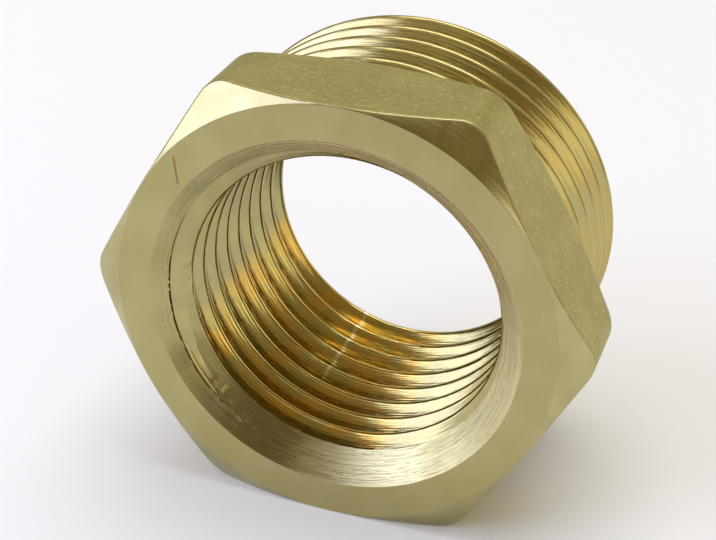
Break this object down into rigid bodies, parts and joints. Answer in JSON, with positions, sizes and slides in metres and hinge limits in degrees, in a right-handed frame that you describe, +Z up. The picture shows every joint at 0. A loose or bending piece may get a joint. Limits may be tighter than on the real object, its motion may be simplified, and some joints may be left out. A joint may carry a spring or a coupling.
{
  "type": "hex bushing",
  "caption": "Brass hex reducing bushing: short hexagon head, male pipe thread behind it and a smaller female pipe thread through it.",
  "frame": {"origin": "on the axis of the bore, halfway between the face of the head and the end of the male thread", "axes": "+Y along the bore axis, from the head towards the end of the male thread; +Z up, square to the head's upper flat; +X towards a corner of the head"},
  "size_m": [0.0306, 0.017, 0.027],
  "materials": {
    "brass": "satin turned face and cones, dull grained hexagon flats, bright thread flanks"
  },
  "bodies": {
    "root": {"hex_bushing": "brass"}
  },
  "joints": []
}
